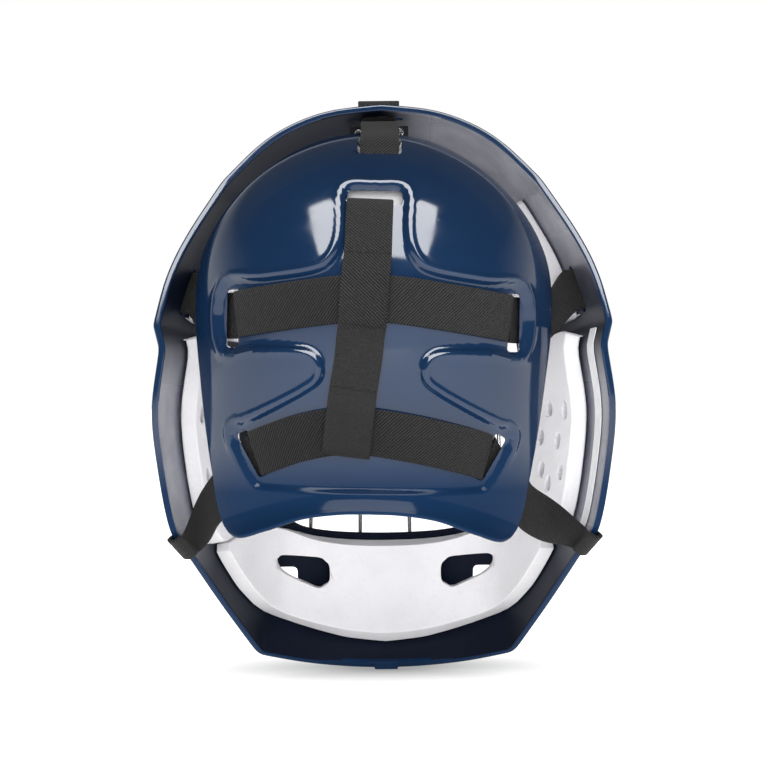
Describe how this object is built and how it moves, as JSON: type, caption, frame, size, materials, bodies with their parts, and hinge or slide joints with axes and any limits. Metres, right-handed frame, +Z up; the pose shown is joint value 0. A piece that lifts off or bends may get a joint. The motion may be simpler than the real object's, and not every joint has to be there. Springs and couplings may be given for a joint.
{
  "type": "hockey goaltender mask",
  "caption": "Moulded goaltender mask with a wire face cage, foam liner, and a domed back plate held by an elastic strap harness and hung at the crown.",
  "frame": {"origin": "middle of the footprint of the whole mask, on the surface that its chin stands on", "axes": "+Z up through the crown, -Y is the way the face and the cage look, +Y is the rear where the back plate is, +X is the wearer's left"},
  "size_m": [0.2468, 0.2636, 0.3306],
  "materials": {
    "navy_shell": "high gloss moulded plastic, dark navy",
    "white_foam": "closed-cell foam sheet, matt white with cut edges",
    "black_webbing": "twill-ribbed woven elastic, black",
    "chrome": "bright plated",
    "cage_wire": "satin grey wire",
    "screw_metal": "zinc plated",
    "dark_metal": "black coated",
    "white_sticker": "smooth blank label stock"
  },
  "bodies": {
    "mask_shell": {"shell": "navy_shell", "cage_rim": "cage_wire", "cage_upright_left_1": "cage_wire", "cage_upright_right_1": "cage_wire", "cage_upright_left_2": "cage_wire", "cage_upright_right_2": "cage_wire", "cage_upright_left_3": "cage_wire", "cage_upright_right_3": "cage_wire", "cage_crossbar_1": "cage_wire", "cage_crossbar_2": "cage_wire", "cage_crossbar_3": "cage_wire", "cage_crossbar_4": "cage_wire", "cage_clip_top_left": "dark_metal", "cage_screw_top_left": "screw_metal", "cage_nut_top_left": "screw_metal", "cage_clip_top_right": "dark_metal", "cage_screw_top_right": "screw_metal", "cage_nut_top_right": "screw_metal", "cage_clip_side_left": "dark_metal", "cage_screw_side_left": "screw_metal", "cage_nut_side_left": "screw_metal", "cage_clip_side_right": "dark_metal", "cage_screw_side_right": "screw_metal", "cage_nut_side_right": "screw_metal", "cage_clip_low_left": "dark_metal", "cage_screw_low_left": "screw_metal", "cage_nut_low_left": "screw_metal", "cage_clip_low_right": "dark_metal", "cage_screw_low_right": "screw_metal", "cage_nut_low_right": "screw_metal", "forehead_pad": "white_foam", "chin_pad": "white_foam", "temple_pad_left": "white_foam", "cheek_pad_left": "white_foam", "upper_strap_end_left": "black_webbing", "lower_strap_end_left": "black_webbing", "snap_upper_left": "chrome", "snap_lower_left": "chrome", "temple_pad_right": "white_foam", "cheek_pad_right": "white_foam", "upper_strap_end_right": "black_webbing", "lower_strap_end_right": "black_webbing", "snap_upper_right": "chrome", "snap_lower_right": "chrome", "crown_strap": "black_webbing", "crown_snap": "chrome", "crown_bracket": "dark_metal", "crown_rivet_left": "chrome", "crown_rivet_right": "chrome", "crown_loop": "chrome", "blank_sticker": "white_sticker"},
    "back_plate_assembly": {"back_plate": "navy_shell", "back_plate_pad": "white_foam", "strap_upper": "black_webbing", "strap_lower": "black_webbing", "strap_upright": "black_webbing"}
  },
  "joints": [
    {"name": "back_plate_tilt", "type": "hinge", "parent": "mask_shell", "child": "back_plate_assembly", "pos_m": [0, 0.02819, 0.3126], "axis": [1, 0, 0], "range_deg": [0, 25], "stiffness_Nm_per_rad": 8, "deforming": ["upper_strap_end_left", "upper_strap_end_right", "lower_strap_end_left", "lower_strap_end_right", "crown_strap"]}
  ]
}
